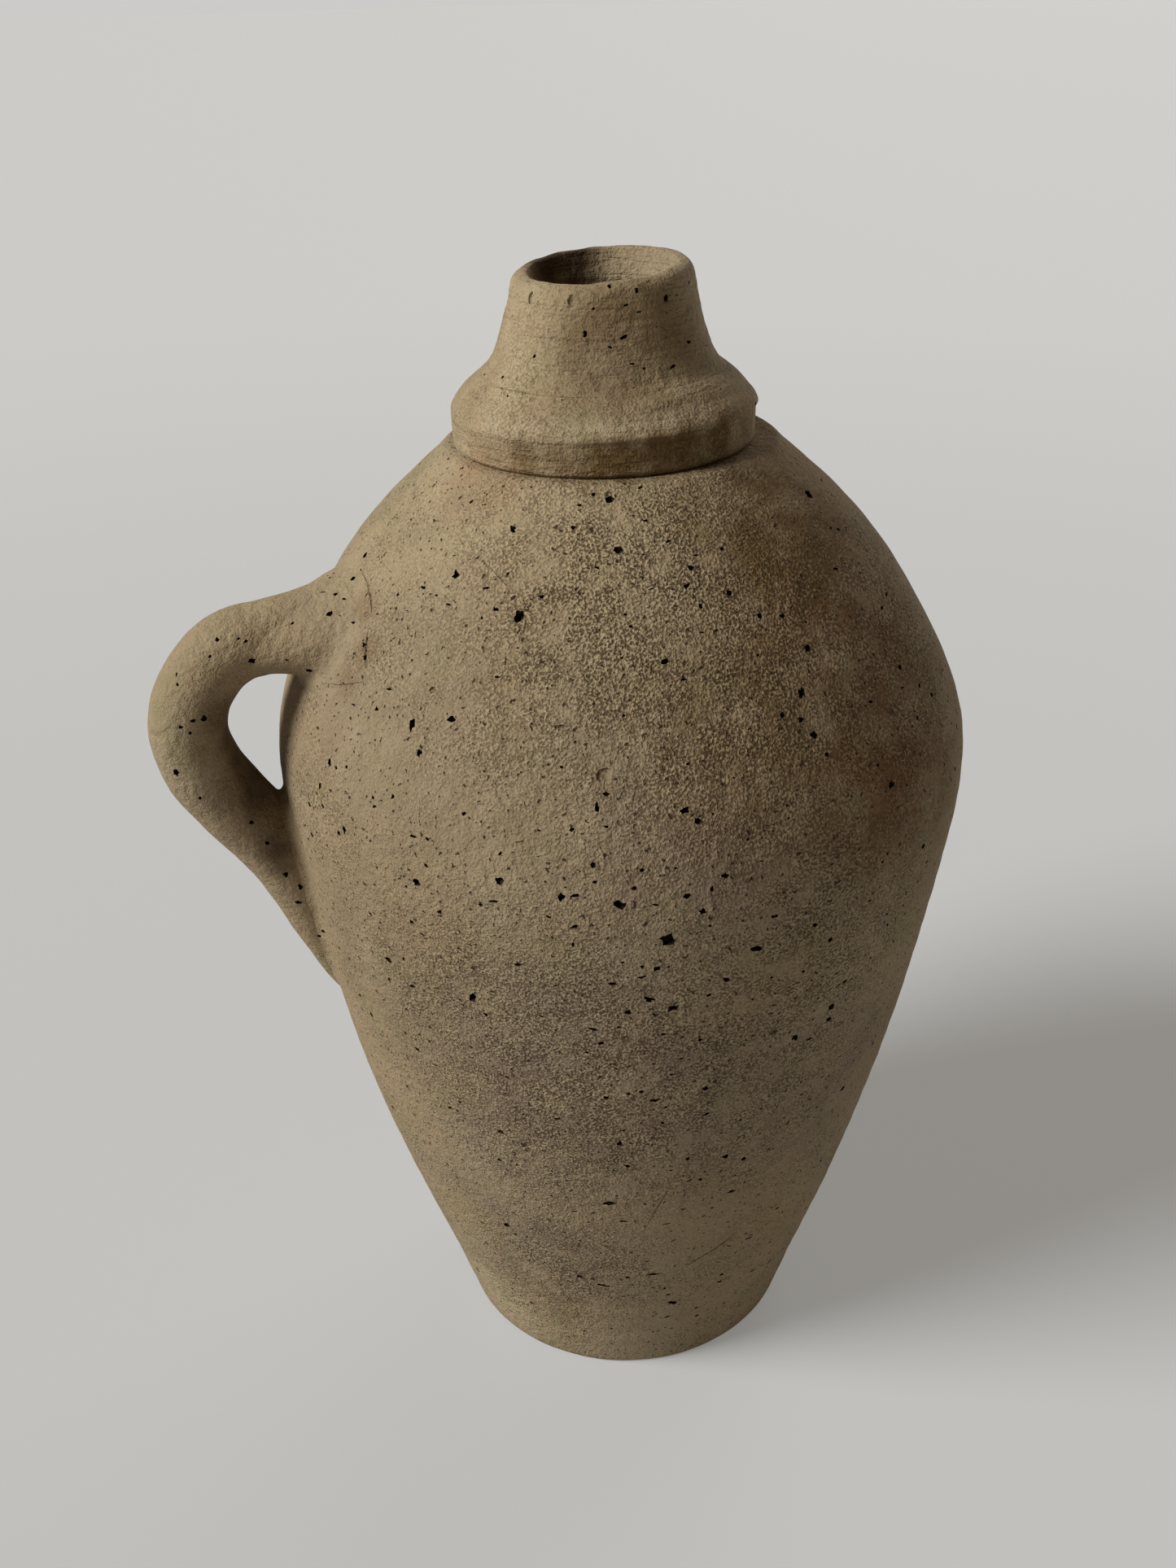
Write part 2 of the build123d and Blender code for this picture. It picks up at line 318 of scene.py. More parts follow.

# Places where the sand stands out, where the fire and the smoke left a colour or a wet hand
# wiped the clay, and where light and shade are painted: a pixel of the photograph, radius in
# millimetres, strength
sanded_px = [
    (800, 760, 62, 1.0), (930, 860, 60, 1.0), (1080, 800, 60, 0.9), (760, 1330, 75, 1.0),
    (1000, 1150, 60, 0.85), (700, 1560, 42, 0.9), (560, 1230, 42, 0.75), (880, 545, 22, 0.8),
    (650, 490, 22, 0.8), (900, 1330, 60, 0.8), (640, 640, 24, 0.55), (470, 790, 20, 0.5),
]
stains_and_painted_light_px = {
    # Paler clay, which on the lit upper left of the shoulder, neck and collar is also painted light
    "#A89878": [(545, 645, 40, 1.0), (465, 690, 26, 0.8), (620, 1590, 20, 0.7), (640, 400, 26, 0.9),
                (590, 500, 22, 0.9), (300, 765, 16, 0.9), (1050, 1230, 34, 0.6), (730, 690, 40, 0.6)],
    # Grey-brown that darkens the front and the left of the belly
    "#83735A": [(480, 930, 75, 0.6), (650, 920, 60, 0.6), (455, 1200, 46, 0.7)],
    "#805438": [(1085, 935, 30, 0.75), (1040, 760, 34, 0.7), (600, 590, 16, 0.45), (1000, 690, 26, 0.4)],
    "#77665A": [(720, 1350, 62, 0.7), (870, 1060, 34, 0.6), (650, 1520, 46, 0.5), (740, 440, 14, 0.6),
                (1000, 1330, 46, 0.5)],
    # Painted highlight in a row along the ledge over the collar's ridge
    "#AFA084": [(600, 530, 6, 0.8), (645, 532, 6, 0.9), (690, 535, 6, 0.9), (735, 533, 6, 0.9),
                (780, 528, 6, 0.9), (825, 519, 6, 0.9), (868, 507, 6, 0.8)],
    # Painted shade on the right of the shoulder and belly, in a row under the collar's ridge, and on the
    # neck's front
    "#665031": [(1110, 900, 60, 0.55), (960, 660, 36, 1.2), (970, 900, 42, 0.7), (600, 552, 6, 0.5),
                (645, 560, 7, 0.8), (690, 566, 7, 1.1), (730, 568, 8, 1.3), (770, 566, 8, 1.4),
                (810, 559, 8, 1.4), (850, 549, 8, 1.4), (890, 535, 8, 1.3), (925, 518, 7, 1.0),
                (770, 420, 28, 0.7)],
    "#9A8862": [(575, 1490, 20, 0.7), (960, 1480, 20, 0.7)],
    # Painted shade along the finger seams at the handle's root
    "#775F45": [(448, 745, 7, 0.5), (450, 800, 6, 0.5), (420, 842, 7, 0.5)],
}

# Painted shade inside the mouth and on the handle's inner side, which faces the wall
painted_shade_px = {
    "#35281A": [(700, 318, 12, 1.0), (678, 326, 12, 1.0)],
    "#3F3022": [(272, 880, 8, 0.5), (285, 905, 9, 0.7), (298, 930, 9, 0.8), (310, 952, 9, 0.85),
                (318, 976, 9, 0.85), (326, 1000, 9, 0.85), (333, 1024, 9, 0.8), (340, 1048, 8, 0.8),
                (347, 1072, 7, 0.7), (356, 1098, 6, 0.6), (276, 985, 9, 0.35), (300, 1030, 9, 0.35)],
}


def linear(code):
    """A linear colour from an sRGB hex code."""
    channels = [int(code[i:i + 2], 16) / 255 for i in (1, 3, 5)]
    return [c / 12.92 if c <= 0.04045 else ((c + 0.055) / 1.055) ** 2.4 for c in channels]


class JugSettings(bpy.types.PropertyGroup):
    """Sizes and colours of the clay that a user would change."""

    grain: FloatProperty(
        name="Grain", description="Width of the sand grains that stand out of the clay",
        default=1.1 * mm, min=0.3 * mm, unit="LENGTH")
    grain_height: FloatProperty(
        name="Grain height", description="How far the grains stand out",
        default=0.34 * mm, min=0, unit="LENGTH")
    wobble: FloatProperty(
        name="Wobble", description="How far the hand-built wall is pushed in from a true circle",
        default=0.9 * mm, min=0, unit="LENGTH")
    ring_spacing: FloatProperty(
        name="Ring spacing", description="Distance from one finger ring of the wall to the next",
        default=7.5 * mm, min=1 * mm, unit="LENGTH")
    ring_depth: FloatProperty(
        name="Ring depth", description="Depth of the finger rings",
        default=0.16 * mm, min=0, unit="LENGTH")
    grip_hollow: FloatProperty(
        name="Grip hollow", description="How far the wall is flattened behind the handle",
        default=2.0 * mm, min=0, unit="LENGTH")
    pit_count: IntProperty(
        name="Pits", description="Number of places that are tried for a small pit",
        default=3100, min=0)
    pit_seed: IntProperty(
        name="Pit seed", description="Draw that places the small pits", default=7)
    clay_colour: FloatVectorProperty(
        name="Clay", description="Main colour of the fired clay",
        subtype="COLOR", default=linear("#97876C"))
    warm_colour: FloatVectorProperty(
        name="Warm clay", description="Clay where the fire reached it more",
        subtype="COLOR", default=linear("#968366"))
    # Between the grains: smoked clay, darkened further with painted shade of the hollows
    gap_colour: FloatVectorProperty(
        name="Between grains", description="Smoked clay between the sand grains",
        subtype="COLOR", default=linear("#4B3B28"))


class StageSettings(bpy.types.PropertyGroup):
    """Floor and light."""

    paper_colour: FloatVectorProperty(
        name="Paper", description="Colour of the paper that the jug stands on",
        subtype="COLOR", default=linear("#9A9C9D"))
    window_strength: FloatProperty(
        name="Window strength", description="Strength of the soft light from the left",
        default=4.1, min=0)
    wall_strength: FloatProperty(
        name="Wall strength", description="Strength of the weak light off a wall behind at the right",
        default=1.4, min=0)
    room_strength: FloatProperty(
        name="Room strength", description="Strength of the even light from all round",
        default=0.12, min=0)
    room_colour: FloatVectorProperty(
        name="Room colour", description="Colour of the even light from all round",
        subtype="COLOR", default=linear("#FFDDB2"))


def add(tree, kind, inputs=(), **settings):
    """Add a node with its settings, and set or link its inputs. A node given as an input is
    linked from its first output in use."""
    node = tree.nodes.new(kind)
    for name, value in settings.items():
        setattr(node, name, value)
    for key, value in dict(inputs).items():
        socket = node.inputs[key] if isinstance(key, int) else next(
            each for each in node.inputs if each.enabled and each.name == key)
        if isinstance(value, bpy.types.Node):
            value = next(each for each in value.outputs if each.enabled)
        if isinstance(value, bpy.types.NodeSocket):
            tree.links.new(value, socket)
        else:
            socket.default_value = value
    return node


def colour(code):
    """A colour for a node from an sRGB hex code."""
    return (*linear(code), 1)


def millimetres(tree):
    """The place on the jug, in millimetres."""
    place = add(tree, "ShaderNodeTexCoord").outputs["Object"]
    return add(tree, "ShaderNodeVectorMath", {0: place, 1: (1 / mm,) * 3}, operation="MULTIPLY")


def patches(tree, place, size, low, high, top=1.0, detail=3.0):
    """Patches about a size in millimetres across, that rise from 0 to a top value where the
    noise goes from low to high."""
    inputs = {"Vector": place, "Scale": 1 / size, "Detail": detail}
    inputs = {"Value": add(tree, "ShaderNodeTexNoise", inputs), "From Min": low, "From Max": high,
              "To Max": top}
    return add(tree, "ShaderNodeMapRange", inputs, interpolation_type="SMOOTHSTEP")


def near(tree, place, table):
    """A strength at each of some pixels of the photograph, fading to 0 at a radius in
    millimetres round the point that is seen there."""
    total = None
    for centre, radius, strength in spots_at(table):
        gap = add(tree, "ShaderNodeVectorMath", {0: place, 1: centre}, operation="DISTANCE")
        inputs = {"Value": gap, "From Min": radius, "From Max": 0.25 * radius, "To Max": strength}
        fade = add(tree, "ShaderNodeMapRange", inputs, interpolation_type="SMOOTHSTEP")
        total = fade if total is None else add(
            tree, "ShaderNodeMath", {0: total, 1: fade}, operation="MAXIMUM")
    return total


def seen(px, py, trees):
    """The point and the outward direction of the surface at a pixel of the photograph."""
    across = (px - photo_width / 2) / focal_px
    rise = (photo_height / 2 - py) / focal_px
    ray = camera_turn() @ Vector((across, rise, -1))
    hits = [tree.ray_cast(camera_place, ray) for tree in trees]
    hits = [hit for hit in hits if hit[0] is not None]
    place, normal, _, _ = min(hits, key=lambda hit: hit[3])
    return place, normal


def camera_turn():
    """The camera's turn: along its heading, pitched down, and rolled a little."""
    heading = radians(camera_heading)
    pitch = radians(camera_pitch)
    ahead = Vector((-sin(heading) * cos(pitch), cos(heading) * cos(pitch), -sin(pitch)))
    return ahead.to_track_quat("-Z", "Y") @ Quaternion((0, 0, 1), radians(camera_roll))


@cache
def node_tree(name):
    """A CAD piece's faces, for finding where a ray meets them."""
    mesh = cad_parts[name].data
    points = [vertex.co for vertex in mesh.vertices]
    faces = [face.vertices[:] for face in mesh.polygons]
    return BVHTree.FromPolygons(points, faces)


def spots_at(table):
    """A table of pixels as centres in millimetres on the CAD pieces, radii and strengths."""
    trees = [node_tree(name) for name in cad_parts]
    return [(seen(px, py, trees)[0] / mm, radius, strength) for px, py, radius, strength in table]


def matt_material(name, roughness, shine):
    """A new matt material, with its node tree and its shader."""
    material = bpy.data.materials.new(name)
    material.use_nodes = True
    tree = material.node_tree
    shader = tree.nodes["Principled BSDF"]
    shader.inputs["Roughness"].default_value = roughness
    shader.inputs["Specular IOR Level"].default_value = shine
    return material, tree, shader


def skin_colours(tree, place):
    """The colour of the clay's skin: broad drifts from the fire, the stains that the photograph
    shows, and painted light and shade: light on the upper left and over the collar's ridge, and
    shade on the right, under the ridge, along the root's seams, inside the mouth and on the
    handle's inner side."""
    settings = bpy.context.scene.jug
    skin = add(tree, "ShaderNodeMix", {
        "Factor": patches(tree, place, warm_patch_mm, 0.38, 0.62), "A": (*settings.clay_colour, 1),
        "B": (*settings.warm_colour, 1)}, data_type="RGBA")
    olive = patches(tree, place, olive_patch_mm, 0.50, 0.72, 0.5)
    skin = add(tree, "ShaderNodeMix", {"Factor": olive, "A": skin, "B": colour("#847B58")},
               data_type="RGBA")
    for table, low in ((stains_and_painted_light_px, 0.25), (painted_shade_px, 0.0)):
        for code, spots in table.items():
            stain_and_painted_light = patches(tree, place, stain_and_painted_light_patch_mm, low, 0.65, near(tree, place, spots), 4)
            skin = add(tree, "ShaderNodeMix", {"Factor": stain_and_painted_light, "A": skin, "B": colour(code)},
                       data_type="RGBA")
    return skin


def bare_sand(tree, place):
    """How much the sand stands out: most at the smoked places, and in drifts all round."""
    drifts = patches(tree, place, sand_drift_mm, 0.34, 0.78, 0.75)
    bare = add(tree, "ShaderNodeMath", {0: near(tree, place, sanded_px), 1: drifts},
               operation="MAXIMUM")
    return patches(tree, place, sand_edge_mm, 0.22, 0.60, bare)


def relief(tree, place, grains, bare, sand, wiping):
    """The surface's height in millimetres: the grains, the skin between them, a fine tooth,
    burnt-out specks, and the level lines that a wet hand drew."""
    height = sand * bpy.context.scene.jug.grain_height / mm
    rise = add(tree, "ShaderNodeMapRange", {"Value": bare, "To Min": 0.4 * height, "To Max": height})
    total = add(tree, "ShaderNodeMapRange", {"Value": grains, "From Min": 0.3, "From Max": 0.7,
                                             "To Max": rise})
    parts = [
        patches(tree, place, skin_mm, 0.30, 0.70, 0.28),
        patches(tree, place, tooth_mm, 0.30, 0.70, 0.08, 2),
        patches(tree, place, speck_mm, 0.68, 0.715, -0.30 * sand, 1),
    ]
    if wiping:
        drawn = add(tree, "ShaderNodeVectorMath", {0: place, 1: (0.10, 0.10, 1.0)}, operation="MULTIPLY")
        parts.append(patches(tree, drawn, wiped_line_mm, 0.38, 0.62, wiping))
    for part in parts:
        total = add(tree, "ShaderNodeMath", {0: total, 1: part}, operation="ADD")
    return total


def clay(name, sand, wiping):
    """Unglazed earthenware full of coarse sand, fired on an open hearth: a dead matt surface
    of pale grains over smoked clay, with painted shade in the hollows between the grains, in
    drifting tan, brown, red and mauve patches. Sand is how much of it is bare, wiping the depth
    in millimetres of the lines that a wet hand left."""
    settings = bpy.context.scene.jug
    material, tree, shader = matt_material(name, 0.95, 0.15)
    shader.inputs["IOR"].default_value = 1.5
    place = millimetres(tree)
    skin = skin_colours(tree, place)
    bare = bare_sand(tree, place)

    # Grains of sand, and the smoked clay in the gaps between them, darker still as painted shade
    grain = settings.grain / mm
    grains = add(tree, "ShaderNodeTexNoise", {"Vector": place, "Scale": 1 / (0.55 * grain),
                                              "Detail": 1.5, "Roughness": 0.5})
    gap_depth = add(tree, "ShaderNodeMapRange", {"Value": bare, "To Min": 0.14 * sand,
                                                 "To Max": 0.85 * sand})
    gaps = add(tree, "ShaderNodeMapRange", {"Value": grains, "From Min": 0.56, "From Max": 0.42,
                                            "To Max": gap_depth}, interpolation_type="SMOOTHSTEP")
    skin = add(tree, "ShaderNodeMix", {"Factor": gaps, "A": skin, "B": (*settings.gap_colour, 1)},
               data_type="RGBA")

    top_strength = add(tree, "ShaderNodeMath", {0: bare, 1: 0.45 * sand}, operation="MULTIPLY")
    tops = add(tree, "ShaderNodeMapRange", {"Value": grains, "From Min": 0.55, "From Max": 0.66,
                                            "To Max": top_strength})
    skin = add(tree, "ShaderNodeMix", {"Factor": tops, "A": skin, "B": colour("#B4A581")},
               data_type="RGBA")

    # Specks where chaff burnt out, and a faint tooth
    specks = patches(tree, place, speck_mm, 0.68, 0.715, 0.9 * sand * sand, 1)
    skin = add(tree, "ShaderNodeMix", {"Factor": specks, "A": skin, "B": colour("#2A1F14")},
               data_type="RGBA")
    tooth = patches(tree, place, tooth_mm, 0.30, 0.70, 1.0, 2)
    shade = add(tree, "ShaderNodeMix", {"Factor": tooth, "A": (0.78, 0.78, 0.78, 1),
                                        "B": (1, 1, 1, 1)}, data_type="RGBA")
    skin = add(tree, "ShaderNodeMix", {"Factor": 0.5, "A": skin, "B": shade}, data_type="RGBA",
               blend_type="MULTIPLY")
    tree.links.new(skin.outputs[2], shader.inputs["Base Color"])

    height = relief(tree, place, grains, bare, sand, wiping)
    bump = add(tree, "ShaderNodeBump", {"Height": height, "Distance": mm})
    tree.links.new(bump.outputs["Normal"], shader.inputs["Normal"])
    return material


def pit_shade_clay():
    """Raw clay inside a pit where chaff burnt out, painted dark as the shade in the hollow, in patches
    of two darks: rough and matt.
    """
    material, tree, shader = matt_material("pit_clay_painted_shade", 1.0, 0.05)
    pit_shade = patches(tree, millimetres(tree), pit_shade_patch_mm, 0.30, 0.70)
    skin = add(tree, "ShaderNodeMix", {"Factor": pit_shade, "A": colour("#17110B"), "B": colour("#33271A")},
               data_type="RGBA")
    tree.links.new(skin.outputs[2], shader.inputs["Base Color"])
    bump = add(tree, "ShaderNodeBump", {"Height": pit_shade, "Distance": pit_relief})
    tree.links.new(bump.outputs["Normal"], shader.inputs["Normal"])
    return material


clay_materials = {}


def material_named(name):
    """The material of a finish, made when it is first asked for."""
    makers = {
        "sandy_hearth_fired_clay": lambda: clay("sandy_hearth_fired_clay", 1.0, 0),
        "wet_wiped_clay": lambda: clay("wet_wiped_clay", 0.6, 0.17),
        "hand_smoothed_clay": lambda: clay("hand_smoothed_clay", 0.4, 0),
        "scraped_foot_clay": lambda: clay("scraped_foot_clay", 0.4, 0),
        "pit_clay_painted_shade": pit_shade_clay,
    }
    if name not in clay_materials:
        clay_materials[name] = makers[name]()
    return clay_materials[name]


def copy_of(piece):
    """A copy of an object's mesh, to edit."""
    bm = bmesh.new()
    bm.from_mesh(piece.data)
    return bm


def section(node):
    """A turned CAD piece's outline on the side away from the handle, in order round it."""
    bm = copy_of(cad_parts[node])
    bmesh.ops.remove_doubles(bm, verts=bm.verts, dist=merge_gap)
    everything = bm.verts[:] + bm.edges[:] + bm.faces[:]
    bmesh.ops.bisect_plane(bm, geom=everything, dist=0.1 * merge_gap, plane_co=(0, 0, 0),
                           plane_no=(0, 1, 0), clear_outer=True, clear_inner=True)
    right = {v for v in bm.verts if v.co.x > -merge_gap}
    ends = [v for v in right if sum(e.other_vert(v) in right for e in v.link_edges) == 1]
    start = min(ends or right, key=lambda v: (v.co.z, -v.co.x))
    chain = [start]
    while True:
        onward = [e.other_vert(chain[-1]) for e in chain[-1].link_edges]
        onward = [v for v in onward if v in right and v not in chain]
        if not onward:
            break
        chain.append(max(onward, key=lambda v: v.co.x) if len(chain) == 1 else onward[0])
    points = [v.co.copy() for v in chain]
    bm.free()
    if ends:
        points = [Vector((0, 0, points[0].z)), *points, Vector((0, 0, points[-1].z))]
    return points, not ends


def runs_between_corners(points, closed):
    """Split an outline at its corners into runs that are smooth curves."""
    count = len(points)
    corners = []
    for i, point in enumerate(points):
        if not closed and i in (0, count - 1):
            corners.append(i)
            continue
        before = point - points[i - 1]
        after = points[(i + 1) % count] - point
        if before.angle(after) > corner_angle:
            corners.append(i)
    runs = []
    for first, last in zip(corners, corners[1:] + corners[:1]):
        if not closed and first > last:
            continue
        span = (last - first) % count or count
        runs.append([points[(first + i) % count] for i in range(span + 1)])
    return runs


def run_length(run):
    """How long a run of points is."""
    return sum((b - a).length for a, b in zip(run, run[1:]))


def curve_through(run, spacing):
    """Even points along a smooth curve through a run, its last point left out."""
    steps = [b - a for a, b in zip(run, run[1:])]
    headings = [steps[0].normalized()]
    for before, after in zip(steps, steps[1:]):
        bend = before.normalized() * after.length + after.normalized() * before.length
        headings.append(bend / (before.length + after.length))
    headings.append(steps[-1].normalized())
    fine = []
    for start, step, leaving, arriving in zip(run, steps, headings, headings[1:]):
        count = max(2, round(2 * step.length / spacing))
        for t in (i / count for i in range(count)):
            swing = leaving * (t * (1 - t) ** 2) - arriving * (t * t * (1 - t))
            fine.append(start + step * (t * t * (3 - 2 * t)) + swing * step.length)
    fine.append(run[-1])
    length = run_length(fine)
    count = max(1, round(length / spacing))
    points, walked, wanted = [run[0]], 0, length / count
    for a, b in zip(fine, fine[1:]):
        step = (b - a).length
        while step and walked + step >= wanted and len(points) < count:
            points.append(a.lerp(b, (wanted - walked) / step))
            wanted += length / count
        walked += step
    return points


def outline(node, outside, spacing):
    """A CAD piece's outline with its outside runs fine and the hidden runs coarse."""
    points, closed = section(node)
    result = []
    for run in runs_between_corners(points, closed):
        result += curve_through(run, spacing if outside(run) else inside_spacing)
    if not closed:
        result.append(points[-1])
    return result, closed


def spun(points, closed, axis, steps):
    """A closed mesh from an outline spun round an upright axis, none of it below the foot."""
    bm = bmesh.new()
    verts = [bm.verts.new((p.x, 0, max(p.z, cad_lowest.z))) for p in points]
    pairs = list(zip(verts, verts[1:]))
    if closed:
        pairs.append((verts[-1], verts[0]))
    edges = [bm.edges.new(pair) for pair in pairs]
    bmesh.ops.spin(bm, geom=verts + edges, cent=(axis, 0, 0), axis=up, angle=2 * pi,
                   steps=steps, use_merge=True, use_duplicate=False)
    bmesh.ops.remove_doubles(bm, verts=bm.verts, dist=merge_gap)
    bmesh.ops.recalc_face_normals(bm, faces=bm.faces)
    return bm


def bell(value, width):
    """A share that is 1 at a value of 0 and fades out past a width either way."""
    return exp(-(value / width) ** 2)


def ramp(value, width):
    """A share that goes from 0 to 1 as a value goes from 0 to a width."""
    return min(1, max(0, value / width))


def swells(place, width, draw=(0, 0, 0)):
    """Soft noise from 0 to 1, in swells of a width. Another draw gives other swells."""
    return 0.5 + 0.5 * noise.noise(place / width + Vector(draw))


def turn_from(angle, middle):
    """An angle's distance from a middle one, in degrees from -180 to 180."""
    return (angle - middle + 180) % 360 - 180


def pressed(place, axis, calm):
    """Where a point of a turned piece ends up once hands have pressed the clay inward."""
    settings = bpy.context.scene.jug
    x, y, z = place.x - axis, place.y, place.z
    radius = (x * x + y * y) ** 0.5
    if radius < near_axis:
        return place
    azimuth = atan2(y, x)
    behind_handle = bell(turn_from(azimuth * 180 / pi, 180), grip_spread)
    soft = swells(place, soft_width)
    lumps = swells(place, lump_width, (7, 3, 5))
    drift = 1.6 * noise.noise(Vector((cos(azimuth), sin(azimuth), z / ring_drift_height)) * 1.3)
    ring = 0.5 + 0.5 * sin(2 * pi * z / settings.ring_spacing + drift)
    ring_fade = noise.noise(place / ring_fade_width + Vector((1, 9, 4)))
    inward = settings.wobble * (0.7 * soft + 0.3 * lumps) * calm
    inward += settings.ring_depth * ring * (0.35 + 0.65 * max(0, ring_fade + 0.4))
    inward += peel_depth * swells(place, peel_width)
    inward += settings.grip_hollow * behind_handle * bell(z - grip_height, grip_reach)
    share = 1 - inward / radius
    return Vector((axis + x * share, y * share, z))


def about_top(place):
    """A point's distance from the neck's axis, and its direction in degrees."""
    x, y = place.x - top_axis, place.y
    return (x * x + y * y) ** 0.5, atan2(y, x) * 180 / pi


def drawn_in(place, depth):
    """A point moved a depth towards the neck's axis."""
    radius, _ = about_top(place)
    share = 1 - depth / radius
    return Vector((top_axis + (place.x - top_axis) * share, place.y * share, place.z))


def thrown(place):
    """How deep the fingers left their fine level lines at a point of the neck."""
    radius, degrees = about_top(place)
    turn = radians(degrees)
    lines = noise.noise(Vector((0.7 * cos(turn), 0.7 * sin(turn), place.z / line_spacing)))
    return line_depth * (0.6 + lines) if radius > line_least_radius else 0


def collar_pressed(place):
    """The collar's band is cut back under a ridge with a channel behind it, which rides up a
    little and stays crisp in front and at the right, and is worn at the left."""
    moved = pressed(place, top_axis, top_calm)
    radius, degrees = about_top(place)
    outer = bell(collar_radius - radius, collar_skin) if radius < collar_radius else 1
    crisp = 0.25 + 0.75 * bell(turn_from(degrees, crisp_side), crisp_spread)
    below = ramp(ridge_height - place.z, ridge_edge)
    channel = channel_depth * bell(place.z - ridge_height - channel_rise, channel_width)
    cut_back = crisp * (band_undercut * below + channel) + (1 - below) * thrown(place)
    moved = drawn_in(moved, outer * cut_back)
    lift = ridge_lift * bell(turn_from(degrees, lift_side), lift_spread)
    lift -= ridge_drop * bell(turn_from(degrees, drop_side), drop_spread)
    wave = wave_height * noise.noise(Vector((place.x, place.y, 0)) / collar_wave_width)
    moved.z = place.z + (lift + wave) * outer * ramp(place.z - collar_foot, band_height)
    return moved


def neck_pressed(place):
    """The neck keeps the fine level lines of throwing."""
    return drawn_in(pressed(place, top_axis, top_calm), thrown(place))


def lip_pressed(place):
    """The rim is cut on a slant, a little ragged, with its high side at the back right. Opposite
    the handle, where the CAD section was read, it keeps its height."""
    moved = neck_pressed(place)
    radius, degrees = about_top(place)
    level = cos(radians(rim_high_side))
    slant = radius * tan(radians(rim_slant)) * (cos(radians(degrees - rim_high_side)) - level)
    rag = rag_height * (noise.noise(Vector((place.x, place.y, 0)) / rag_width) - 0.6)
    wave = wave_height * (noise.noise(Vector((place.x, place.y, 0)) / rim_wave_width) - 0.5)
    raised = place.z + (slant + wave + rag) * ramp(place.z - lip_foot, rim_reach)
    moved.z = min(raised, rim_top - rim_clearance)
    return moved


def new_piece(name, bm, nodes, finish):
    """A finished piece that rides on the root body in place of its CAD nodes. Its second
    material is for the inside of its pits."""
    mesh = bpy.data.meshes.new(name)
    bm.to_mesh(mesh)
    bm.free()
    for material in (finish, "pit_clay_painted_shade"):
        mesh.materials.append(material_named(material))
    mesh.shade_smooth()
    mesh.set_sharp_from_angle(angle=crisp_angle)
    piece = bpy.data.objects.new(name, mesh)
    bpy.context.collection.objects.link(piece)
    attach(piece, "root")
    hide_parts(*nodes)


def finish_mesh(piece, shaded=True):
    """Give a piece its mesh with the modifiers applied, drop them, and shade it if asked."""
    graph = bpy.context.evaluated_depsgraph_get()
    made = bpy.data.meshes.new_from_object(piece.evaluated_get(graph), depsgraph=graph)
    piece.modifiers.clear()
    old = piece.data
    piece.data = made
    bpy.data.meshes.remove(old)
    if shaded:
        made.shade_smooth()
        made.set_sharp_from_angle(angle=crisp_angle)


def cut(piece, cutter, operation="DIFFERENCE"):
    """Take a cutter's shape away from a piece, or keep only what they share."""
    modifier = piece.modifiers.new("cut", "BOOLEAN")
    modifier.object = cutter
    modifier.operation = operation
    modifier.solver = "MANIFOLD"
    finish_mesh(piece)


def helper(name, bm):
    """A mesh object that only shapes other pieces and is removed afterwards."""
    mesh = bpy.data.meshes.new(name)
    bm.to_mesh(mesh)
    bm.free()
    made = bpy.data.objects.new(name, mesh)
    bpy.context.collection.objects.link(made)
    return made


def drop(*objects):
    """Remove helpers that have done their work."""
    for gone in objects:
        bpy.data.objects.remove(gone)


def turned_piece(node, finish, press, axis, steps, spacing, outside=lambda run: True):
    """A turned CAD piece made again as one fine mesh with the marks of the hand on it. Outside
    tells which runs of its outline are fine."""
    points, closed = outline(node, outside, spacing)
    bm = spun(points, closed, axis, steps)
    for vertex in bm.verts:
        vertex.co = press(vertex.co)
    new_piece(node + "_clay", bm, [node], finish)


def wall_outside(run):
    """True of the run that is the wall's outer face."""
    middle = run[len(run) // 2]
    return run_length(run) > shortest_face and middle.x > wall_radius(middle.z) - half_wall


@cache
def wall_radius(height):
    """The CAD wall's outer radius at a height."""
    node = "lower_wall" if height < belly_height else "upper_wall"
    start = Vector((well_outside, 0, height))
    place, _, _, _ = node_tree(node).ray_cast(start, Vector((-1, 0, 0)))
    return place.x


def body_pressed(place):
    """The wall is pressed like the other pieces. Outside it is full just above the foot, up the
    lower wall and under the collar, where it has room inside the CAD box."""
    moved = pressed(place, 0, 1)
    radius = (place.x * place.x + place.y * place.y) ** 0.5
    if radius < near_axis:
        return moved
    full = sum(depth * bell(place.z - height, reach) for depth, height, reach in fuller_places)
    full *= ramp(radius - seat_radius, seat_reach)
    crown = bell(place.z - crown_height, crown_reach)
    crown *= ramp(radius - collar_seat_radius, collar_seat_reach)
    share = 1 + (full + crown_fullness * crown) / radius
    return Vector((moved.x * share, moved.y * share, moved.z + crown_lift * crown))


def outer_run(node):
    """The wall's outer face as an even run of points, from its foot up."""
    points, closed = section(node)
    run = next(run for run in runs_between_corners(points, closed) if wall_outside(run))
    if run[0].z > run[-1].z:
        run.reverse()
    return curve_through(run, outside_spacing) + [run[-1]]


def body_fill():
    """The body's outside as one full solid, to shape the handle's ends against."""
    foot = outer_run("lower_wall")
    head = outer_run("upper_wall")
    points = [Vector((0, 0, foot[0].z)), *foot, *head[1:], Vector((0, 0, head[-1].z))]
    bm = spun(points, False, 0, body_steps)
    for vertex in bm.verts:
        vertex.co = body_pressed(vertex.co)
    return helper("body_fill", bm)


def handle_line():
    """The handle's middle line with its thickness, from inside the shoulder to the tail."""
    stations = []
    for rise, out, size in handle_shares:
        height = handle_tail_height + rise * (handle_root_height - handle_tail_height)
        stations.append((Vector((-wall_radius(height) - handle_standoff * out, 0, height)), size))
    return stations


